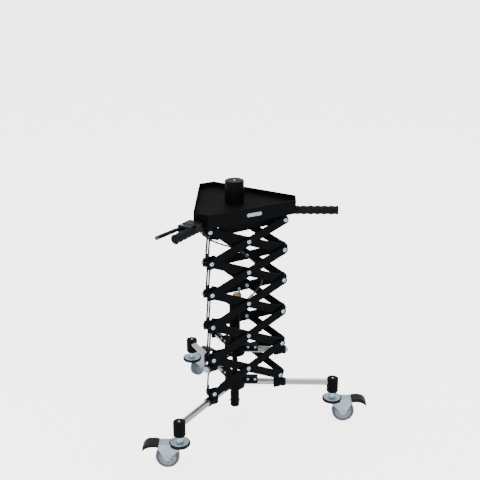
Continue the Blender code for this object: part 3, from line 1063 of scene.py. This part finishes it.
piece(
    "valve_disc",
    placed(
        softened(
            lathe([(0, 0.4532), (0.0145, 0.4532), (0.0145, 0.4610), (0.0120, 0.4665), (0, 0.4665)], 48),
            0.0007
        ),
        Matrix.Translation(VALVE)
    ),
    brass,
    "lift_hub",
)


def threaded(radius, start, end, pitch):
    """A stud whose rings stand for its thread."""
    profile, z = [(0, start), (radius * 0.86, start)], start
    while z + pitch < end:
        profile += [(radius, z + pitch * 0.35), (radius, z + pitch * 0.5), (radius * 0.84, z + pitch * 0.9)]
        z += pitch
    return lathe(profile + [(radius * 0.7, end), (0, end)], 28)


piece(
    "valve_stud",
    placed(threaded(0.0038, 0.4666, 0.4850, 0.0011), Matrix.Translation(STUD)),
    bright_zinc,
    "lift_hub",
)
for corner, spin in CORNERS.items():
    piece(
        f"lift_tube_{corner}",
        placed(softened(rod((0.0330, 0, LIFT_Z), (0.1740, 0, LIFT_Z), TUBE, 48), 0.0005), turned(spin)),
        chrome_tube,
        "lift_hub",
    )
    screws(
        f"lift_tube_end_{corner}",
        [(turned(spin) @ Vector((0.1742, 0, LIFT_Z)), heading(spin))],
        hub_screw,
        bright_zinc,
        "lift_hub",
        size=1.25
    )

# %% [markdown]
# ## The tray
# The tray is folded sheet: three long walls and three short ones round a flat
# floor, with the edges softened. The floor's coat is browner and more matt
# than the walls'. Three plates below it close off the space under the tray.


# %% Tray
def clipped_triangle(side, corner):
    half, spots = (2 * side - corner) / math.sqrt(3), []
    for spin in (0, 120, 240):
        for across in (-half, half):
            spot = turned(spin) @ Vector((corner, across, 0))
            spots.append((spot.x, spot.y))
    return spots


SIDE, CLIP, SHEET = 0.1189, 0.1920, 0.0025
TRAY_LOW, SKIRT_LOW, SKIRT_HALF, SKIRT_OUT = 0.7480, 0.7150, 0.0970, 0.0782
walls = joined(
    prism(
        clipped_triangle(SIDE, CLIP),
        TRAY_LOW,
        TRAY_RIM,
        holes=[clipped_triangle(SIDE - SHEET, CLIP - SHEET)],
    ),
    *[
        placed(
            block((-SKIRT_HALF, SKIRT_LOW, SKIRT_OUT - SHEET), (SKIRT_HALF, TRAY_FLOOR - 0.0026, SKIRT_OUT)),
            turned(spin) @ SIDE_AB
        )
        for spin in (0, 120, 240)
    ],
    prism(
        clipped_triangle(SIDE - 0.001, CLIP - 0.001),
        TRAY_FLOOR - SHEET - 0.0005,
        TRAY_FLOOR - SHEET + 0.0010,
        holes=[ring(0.0152, 40)]
    ),
)
walls = cut(
    walls,
    *[
        placed(rod((0.170, 0, RAIL_Z), (0.210, 0, RAIL_Z), TUBE + 0.0006, 40), turned(spin))
        for spin in (0, 240)
    ]
)
piece("tray_walls", softened(walls, 0.0008, 2), powder_black, "head", ["tray_pan"])
tray_sheet = prism(
    clipped_triangle(SIDE - SHEET - 0.0002, CLIP - SHEET - 0.0002),
    TRAY_FLOOR - SHEET + 0.0012,
    TRAY_FLOOR,
    holes=[ring(0.0150, 40)]
)
piece("tray_floor", softened(tray_sheet, 0.0004, 1), tray_black, "head")

# %% [markdown]
# ## The blank plate
# A thin plate with two rivets marks the front of the tray. It carries no
# lettering. Its outline is a rectangle with round ends, cut from sheet.


# %% Blank plate
def round_ended(half_long, half_high, steps=8):
    spots = []
    for side in (1, -1):
        for i in range(steps + 1):
            angle = math.radians(-90 + 180 * i / steps)
            spots.append(
                (
                    side * (half_long - half_high + half_high * math.cos(angle)),
                    side * half_high * math.sin(angle)
                )
            )
    return spots


plate_at = SIDE_AB @ moved(0.0040, 0.7700, SIDE)
plate = softened(prism(round_ended(0.0260, 0.0056), 0.0001, 0.0012), 0.0003, 2)
piece("blank_plate", placed(plate, plate_at), dull_zinc, "head")
rivets = [(plate_at @ Vector((x, 0, 0.0012)), heading(-60)) for x in (-0.0215, 0.0215)]
screws("blank_plate_rivets", rivets, hub_screw, bright_zinc, "head", size=0.3)

# %% [markdown]
# ## The head's frame and its grips
# Three rails meet at a hub under the tray, and two run out as handles. A
# rubber grip has shallow finger grooves: its radius rises and falls along its
# length. That rule is written as a Geometry Nodes tree on a straight curve,
# whose radius follows a cosine, so that the number of grooves is an input.


# %% Grip tree
def build_grip_tree():
    tree, given, end = geometry_tree(
        "grooved grip",
        [
            ("Radius", "NodeSocketFloat", 0.0134),
            ("Groove", "NodeSocketFloat", 0.0008),
            ("Grooves", "NodeSocketFloat", 6.0),
            ("Rubber", "NodeSocketMaterial", None),
        ],
    )
    line = put(tree, "GeometryNodeMeshToCurve", {"Mesh": given["Geometry"]}).outputs[0]
    fine = put(tree, "GeometryNodeResampleCurve", {"Curve": line, "Count": 110}).outputs[0]
    share = put(tree, "GeometryNodeSplineParameter").outputs["Factor"]
    angle = maths(tree, "MULTIPLY", maths(tree, "MULTIPLY", share, given["Grooves"]), 2 * math.pi)
    wave = maths(tree, "MULTIPLY", maths(tree, "COSINE", angle, 0.0), given["Groove"])
    flare = maths(tree, "MULTIPLY", maths(tree, "POWER", share, 60.0), 0.0012)
    radius = maths(tree, "ADD", maths(tree, "ADD", given["Radius"], wave), flare)
    sized = put(tree, "GeometryNodeSetCurveRadius", {"Curve": fine, "Radius": radius}).outputs[0]
    circle = put(tree, "GeometryNodeCurvePrimitiveCircle", {"Resolution": 48, "Radius": 1.0}).outputs["Curve"]
    skin = put(
        tree,
        "GeometryNodeCurveToMesh",
        {"Curve": sized, "Profile Curve": circle, "Scale": radius, "Fill Caps": True}
    )
    real = put(tree, "GeometryNodeRealizeInstances", {"Geometry": skin.outputs[0]}).outputs[0]
    coated = put(tree, "GeometryNodeSetMaterial", {"Geometry": real, "Material": given["Rubber"]}).outputs[0]
    tree.links.new(coated, end.inputs[0])
    return tree


grip_tree = build_grip_tree()
GRIP_FROM, GRIP_TO = 0.1960, 0.3257


def grip_line():
    mesh = bpy.data.meshes.new("line")
    mesh.from_pydata([(GRIP_FROM, 0, RAIL_Z), (GRIP_TO, 0, RAIL_Z)], [(0, 1)], [])
    return mesh


# %% Head frame
hub = lathe(
    [
        (0, RAIL_Z - 0.014),
        (0.0320, RAIL_Z - 0.014),
        (0.0320, TRAY_FLOOR - SHEET - 0.0009),
        (0, TRAY_FLOOR - SHEET - 0.0009)
    ],
    48
)
piece(
    "head_hub",
    softened(joined(hub, rod((0, 0, RAIL_Z), (0, 0, 0.8370), 0.0120, 40)), 0.0008),
    powder_black,
    "head",
    ["head_frame"]
)
for corner, spin in CORNERS.items():
    end = 0.1880 if corner == "c" else GRIP_FROM + 0.0004
    piece(
        f"head_rail_{corner}",
        placed(rod((0.0310, 0, RAIL_Z), (end, 0, RAIL_Z), TUBE, 48), turned(spin)),
        chrome_tube,
        "head",
    )
    if corner != "c":
        collar = lathe(
            [
                (0.0100, 0.1900), (0.0128, 0.1900), (0.0136, 0.1915), (0.0136, GRIP_FROM + 0.0010),
                (0.0100, GRIP_FROM + 0.0010)
            ],
            40
        )
        piece(
            f"grip_collar_{corner}",
            placed(collar, turned(spin) @ moved(0, 0, RAIL_Z) @ facing((1, 0, 0))),
            black_plastic,
            "head",
        )
        grip = softened(grown(grip_tree, grip_line(), Rubber=grip_rubber), 0.0012, 3, 50)
        piece(f"grip_{corner}", placed(grip, turned(spin)), grip_rubber, "head")
print("grip faces", len(grip.polygons))

# %% [markdown]
# ## The turning drum
# Work boards are screwed to a short drum that turns freely on the head's post.
# It is a lathe piece with a chamfered rim, a shallow recess and one bright
# screw, plus a set screw in its side that shows when it turns.

# %% Drum
DRUM, DRUM_TOP = 0.0302, 0.8490
drum = lathe(
    [
        (0, TRAY_FLOOR + 0.0006),
        (DRUM - 0.0012, TRAY_FLOOR + 0.0006),
        (DRUM, TRAY_FLOOR + 0.0018),
        (DRUM, DRUM_TOP - 0.0016),
        (DRUM - 0.0016, DRUM_TOP),
        (0.0090, DRUM_TOP),
        (0.0086, DRUM_TOP - 0.0010),
        (0, DRUM_TOP - 0.0010),
    ],
    72,
)
post_bore = rod((0, 0, TRAY_FLOOR - 0.01), (0, 0, DRUM_TOP - 0.0100), 0.0126, 40)
drum = cut(drum, rod((0.0240, 0, 0.7960), (0.0400, 0, 0.7960), 0.0030, 24), post_bore)
piece("drum", softened(drum, 0.0004), drum_black, "turntable", ["turntable_spindle"])
screws(
    "drum_screw", [(Vector((0, 0, DRUM_TOP - 0.0010)), UP)], hub_screw, bright_zinc, "turntable", size=0.95
)
piece(
    "drum_set_screw",
    rod((0.0240, 0, 0.7960), (0.0290, 0, 0.7960), 0.0029, 20),
    dull_zinc,
    "turntable",
)

# %% [markdown]
# ## The release lever and its housing
# Beside one handle a cast housing clamps round the tube and holds the pin of
# a flat lever. Squeezing the lever pulls the cable that opens the strut. The
# blade is a prism from its outline, with a round rubber sleeve and a tip ring
# whose lighter grey-blue colour is a painted highlight on the black lever.

# %% Lever and housing
HANDLE_A = turned(CORNERS["a"])
LEVER_PIN = (0.2490, -0.0285)
housing = joined(
    block((0.1990, -0.0350, RAIL_Z - 0.0080), (0.2370, 0.0130, RAIL_Z + 0.0185)),
    block((0.2360, -0.0370, RAIL_Z + 0.0118), (0.2600, 0.0060, RAIL_Z + 0.0175)),
    prism(
        [(0.2360, -0.0360), (0.2600, -0.0360), (0.2600, -0.0180), (0.2360, -0.0120)],
        RAIL_Z - 0.0080,
        RAIL_Z + 0.0030
    ),
)
piece("lever_housing", placed(softened(housing, 0.0026, 4), HANDLE_A), black_plastic, "head")
clamp = lathe([(0.0100, 0.1965), (0.0158, 0.1965), (0.0164, 0.1975), (0.0164, 0.1995), (0.0100, 0.1995)], 48)
piece(
    "clamp_ring",
    placed(clamp, HANDLE_A @ moved(0, 0, RAIL_Z) @ facing((1, 0, 0))),
    powder_black,
    "head",
)
pin = rod((*LEVER_PIN, RAIL_Z + 0.0020), (*LEVER_PIN, RAIL_Z + 0.0125), 0.0026, 24)
piece("lever_pin", placed(pin, HANDLE_A), dull_zinc, "head")
pin_top = [(HANDLE_A @ Vector((*LEVER_PIN, RAIL_Z + 0.0173)), UP)]
screws("lever_pin_head", pin_top, hub_screw, dull_zinc, "head", size=0.8)

blade_outline = [
    (0.2390, -0.0330), (0.2450, -0.0370), (0.2620, -0.0375), (0.3500, -0.0445),
    (0.3500, -0.0375), (0.2640, -0.0270), (0.2560, -0.0210), (0.2430, -0.0210), (0.2390, -0.0240),
]
blade = prism(blade_outline, RAIL_Z + 0.0034, RAIL_Z + 0.0104, holes=[ring(0.0030, 24, LEVER_PIN)])
piece(
    "lever_blade", placed(softened(blade, 0.0010, 3), HANDLE_A), black_plastic, "lever",
    ["release_lever"]
)
reach = Vector((0.0850, -0.0080, 0))
sleeve_start = Vector((0.2740, -0.0334, RAIL_Z + 0.0069))
# The tip ring's lighter grey-blue colour is a painted highlight on the black lever.
for label, start, end, radius, look in (
    ("lever_sleeve", 0.0, 0.93, 0.0058, grip_rubber),
    ("lever_tip", 0.92, 1.01, 0.0061, tip_painted_highlight),
):
    tube = softened(rod(sleeve_start + reach * start, sleeve_start + reach * end, radius, 40), 0.0010, 3)
    piece(label, placed(tube, HANDLE_A), look, "lever")
print("lever reach", round(reach.length, 4))

# %% [markdown]
# ## Casters
# Each caster turns about a king pin in its pod. A pressed and galvanised race
# carries two cheeks with the axle, a black ring seals the race, and a ribbed
# arm ends in a black foot cap for the brake. Cheeks and cap are side outlines
# given a width, and the race is a lathe piece. A small helper draws a smooth
# curve through a few points, for the cable later on.

# %% Caster shapes
WHEEL, TRAIL = 0.0375, 0.0383
CASTER_TURN = {"b": 0.0, "c": 57.0, "a": 180.0}


def smooth_line(points, steps=4):
    """A curve through the given points."""
    spots = [Vector(p) for p in points]
    spots = [2 * spots[0] - spots[1], *spots, 2 * spots[-1] - spots[-2]]
    line = []
    for a, b, c, d in zip(spots, spots[1:], spots[2:], spots[3:]):
        for i in range(steps):
            t = i / steps
            line.append(
                0.5 * (
                    2 * b + (c - a) * t + (
                        2 * a - 5 * b + 4 * c - d
                    ) * t**2 + (3 * b - a - 3 * c + d) * t**3
                )
            )
    return line + [spots[-2]]


def cheek():
    nose = [
        (TRAIL + 0.0100 * math.cos(math.radians(a)), WHEEL + 0.0096 * math.sin(math.radians(a)))
        for a in range(-5, -171, -15)
    ]
    return [
        (-0.0120, 0.0785), (0.0200, 0.0790), (0.0740, 0.0800), (0.0600, 0.0590), *nose,
        (TRAIL - 0.0140, 0.0430)
    ]


race = lathe(
    [
        (0.0068, 0.0768), (0.0280, 0.0768), (0.0294, 0.0780), (0.0294, 0.0868), (0.0284, 0.0884),
        (0.0262, 0.0888), (0.0238, 0.0882), (0.0210, 0.0862), (0.0160, 0.0856), (0.0150, 0.0862),
        (0.0068, 0.0862),
    ],
    64,
)
seal = lathe(
    [
        (0.0292, 0.0772), (0.0322, 0.0776), (0.0334, 0.0792), (0.0335, 0.0845), (0.0328, 0.0866),
        (0.0312, 0.0878), (0.0292, 0.0880)
    ],
    64
)
cheeks = joined(
    block((0.0180, -0.0172, 0.0772), (0.0700, 0.0172, 0.0812)),
    *[placed(prism(cheek(), low, low + 0.0026), STANDING) for low in (0.0146, -0.0172)],
)
arm = block((0.0262, -0.0196, 0.0812), (0.0660, 0.0196, 0.0858))
ribs = [block((x, -0.0180, 0.0850), (x + 0.0036, 0.0180, 0.0868)) for x in (0.0400, 0.0490, 0.0580)]
cap = placed(
    prism(
        [
            (0.0640, 0.0782), (0.0640, 0.0872), (0.0690, 0.0888), (0.0850, 0.0895), (0.0960, 0.0884),
            (0.1040, 0.0852), (0.1110, 0.0790), (0.1160, 0.0700), (0.1155, 0.0655), (0.1140, 0.0642),
            (0.1120, 0.0660), (0.1080, 0.0700), (0.1000, 0.0748), (0.0850, 0.0780),
        ],
        -0.0200,
        0.0200,
    ),
    STANDING,
)
notches = [
    block((x, side * 0.0130 - 0.0030, 0.0600), (x + 0.0200, side * 0.0130 + 0.0030, 0.0800))
    for x in (0.1090,) for side in (-1, 1)
]
cap = cut(cap, *notches)
axle = rod((TRAIL, -0.0196, WHEEL), (TRAIL, 0.0196, WHEEL), 0.0042, 24)
print("race faces", len(race.polygons), "cap faces", len(cap.polygons))

# %% Casters in place
for corner, spin in CORNERS.items():
    at = Matrix.Translation(heading(spin) * POD_AT) @ turned(CASTER_TURN[corner])
    body = f"caster_{corner}"
    piece(
        f"race_{corner}", placed(softened(race, 0.0004), at), dull_zinc, body,
        [f"caster_fork_{corner}"]
    )
    piece(f"race_ring_{corner}", placed(softened(seal, 0.0004), at), black_plastic, body)
    piece(f"cheeks_{corner}", placed(softened(cheeks, 0.0006), at), dull_zinc, body)
    piece(
        f"brake_arm_{corner}",
        placed(softened(joined(arm, *ribs), 0.0005), at),
        dull_zinc,
        body,
    )
    piece(f"brake_cap_{corner}", placed(softened(cap, 0.0012, 3), at), black_plastic, body)
    piece(f"axle_{corner}", placed(axle, at), bright_zinc, body)
    ends = [
        (at @ Vector((TRAIL, side * 0.0172, WHEEL)), at.to_3x3() @ Vector((0, side, 0))) for side in (-1, 1)
    ]
    screws(f"axle_nuts_{corner}", ends, hex_nut, bright_zinc, body, size=0.9)

# %% [markdown]
# ## Wheels
# A grey tyre sits on a paler moulded hub. The hub's ribs repeat round the
# axle, which is what Geometry Nodes do best: a tree turns one rib round a
# circle, with the number of ribs as an input.


# %% Wheel ribs
def build_rib_tree():
    tree, given, end = geometry_tree(
        "ribs round an axle",
        [
            ("Ribs", "NodeSocketInt", 8),
            ("Middle", "NodeSocketFloat", 0.0180),
            ("Long", "NodeSocketFloat", 0.0130),
            ("Thick", "NodeSocketFloat", 0.0016),
            ("Deep", "NodeSocketFloat", 0.0180),
            ("Plastic", "NodeSocketMaterial", None),
        ],
    )
    size = put(
        tree, "ShaderNodeCombineXYZ", {"X": given["Long"], "Y": given["Thick"], "Z": given["Deep"]}
    ).outputs[0]
    rib = put(tree, "GeometryNodeMeshCube", {"Size": size}).outputs["Mesh"]
    places = put(
        tree, "GeometryNodeMeshCircle", {"Vertices": given["Ribs"], "Radius": given["Middle"]}
    ).outputs[0]
    outwards = put(tree, "GeometryNodeInputPosition").outputs[0]
    turn = put(
        tree, "FunctionNodeAlignRotationToVector", {"Vector": outwards}, axis="X", pivot_axis="Z"
    ).outputs[0]
    around = put(
        tree, "GeometryNodeInstanceOnPoints", {"Points": places, "Instance": rib, "Rotation": turn}
    ).outputs[0]
    real = put(tree, "GeometryNodeRealizeInstances", {"Geometry": around}).outputs[0]
    coated = put(tree, "GeometryNodeSetMaterial", {"Geometry": real, "Material": given["Plastic"]}).outputs[0]
    tree.links.new(coated, end.inputs[0])
    return tree


rib_tree = build_rib_tree()
hub_ribs = grown(rib_tree, bpy.data.meshes.new("no_points"), Ribs=8, Plastic=hub_grey)
print("rib faces", len(hub_ribs.polygons))

# %% Wheels in place
half_tyre = [
    (0.0262, 0.0104), (0.0285, 0.0118), (0.0335, 0.0120), (0.0360, 0.0102), (0.0372, 0.0070),
    (0.0375, 0.0030)
]
tyre = lathe(half_tyre + [(r, -z) for r, z in reversed(half_tyre)], 80)
half_hub = [
    (0.0048, 0.0135), (0.0092, 0.0135), (0.0104, 0.0110), (0.0112, 0.0050), (0.0238, 0.0045),
    (0.0252, 0.0100), (0.0268, 0.0108)
]
hub = lathe(half_hub + [(r, -z) for r, z in reversed(half_hub)], 64)
axle_at = moved(TRAIL, 0, WHEEL) @ STANDING
for corner, spin in CORNERS.items():
    at = Matrix.Translation(heading(spin) * POD_AT) @ turned(CASTER_TURN[corner]) @ axle_at
    body = f"wheel_{corner}"
    piece(f"tyre_{corner}", placed(tyre, at), tyre_grey, body, [f"caster_wheel_{corner}"], 60)
    piece(f"wheel_hub_{corner}", placed(softened(hub, 0.0004), at), hub_grey, body)
    piece(f"wheel_ribs_{corner}", placed(softened(hub_ribs, 0.0003, 1), at), hub_grey, body)

# %% [markdown]
# ## The release cable
# A sheathed cable runs from the lever's housing to the valve on the strut. It
# hangs free between its two ends; here it is one tube of one length along one
# smooth line, riding on no body. A plated ferrule on a small arm holds it at the
# strut, and a tapered rubber boot relieves it where it leaves the housing.

# %% Cable
CABLE = 0.0052
cable_points = [
    (-0.1148, -0.1578, 0.7489), (-0.1080, -0.1480, 0.7410), (-0.0950, -0.1260, 0.7160),
    (-0.0802, -0.1040, 0.6940), (-0.0609, -0.0929, 0.6787), (-0.0369, -0.0790, 0.6639),
    (-0.0083, -0.0625, 0.6491), (0.0200, -0.0450, 0.6290), (0.0470, -0.0290, 0.6020),
    (0.0700, -0.0160, 0.5740), (0.0860, -0.0070, 0.5460), (0.0900, -0.0020, 0.5220), (0.0850, 0.0, 0.4990),
    (0.0730, 0.0, 0.4800), (0.0600, 0.0, 0.4640), (0.0470, 0.0, 0.4480),
]
cable_line = smooth_line(cable_points, 6)


def tube_along(line, radius, sides=16):
    """A closed tube whose rings stand square to the line, without twist."""
    bm = bmesh.new()
    rows, across = [], None
    for i, point in enumerate(line):
        along = (line[min(i + 1, len(line) - 1)] - line[max(i - 1, 0)]).normalized()
        if across is None:
            across = along.orthogonal().normalized()
        else:
            across = (across - along * across.dot(along)).normalized()
        third = along.cross(across)
        size = radius(i) if callable(radius) else radius
        rows.append([bm.verts.new(point + (across * x + third * y) * size) for x, y in ring(1, sides)])
    for below, above in zip(rows, rows[1:]):
        for i in range(sides):
            j = (i + 1) % sides
            bm.faces.new((below[i], below[j], above[j], above[i]))
    bm.faces.new(list(reversed(rows[0])))
    bm.faces.new(rows[-1])
    return mesh_from(bm)


cable = piece("release_cable", tube_along(cable_line, CABLE / 2), cable_black, None)
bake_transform(cable)
last_way = (cable_line[-1] - cable_line[-3]).normalized()
ferrule = lathe(
    [
        (0.0035, 0), (0.0046, 0), (0.0050, 0.0012), (0.0050, 0.0120), (0.0045, 0.0130), (0.0045, 0.0180),
        (0.0035, 0.0180)
    ],
    32
)
ferrule_at = facing(-last_way, cable_line[-1] + last_way * 0.0020)
piece("cable_ferrule", placed(ferrule, ferrule_at), bright_zinc, "lift_hub")
arm_to_valve = joined(
    block((0.0150, -0.0045, 0.4405), (0.0500, 0.0045, 0.4445)),
    rod((0.0470, 0, 0.4395), (0.0470, 0, 0.4450), 0.0062, 28),
)
piece("valve_arm", softened(arm_to_valve, 0.0006), powder_black, "lift_hub")
boot = tube_along(cable_line[:14], lambda i: 0.0046 - 0.0016 * i / 13)
piece("cable_boot", boot, grip_rubber, "head")

# %% [markdown]
# ## Last steps
# The pattern screws have done their work, so they go.

# %% Measure and finish
for pattern in patterns:
    bpy.data.objects.remove(pattern, do_unlink=True)
print(
    "pieces",
    len(made_pieces),
    "triangles",
    sum(len(p.vertices) - 2 for t in made_pieces for p in t.data.polygons)
)
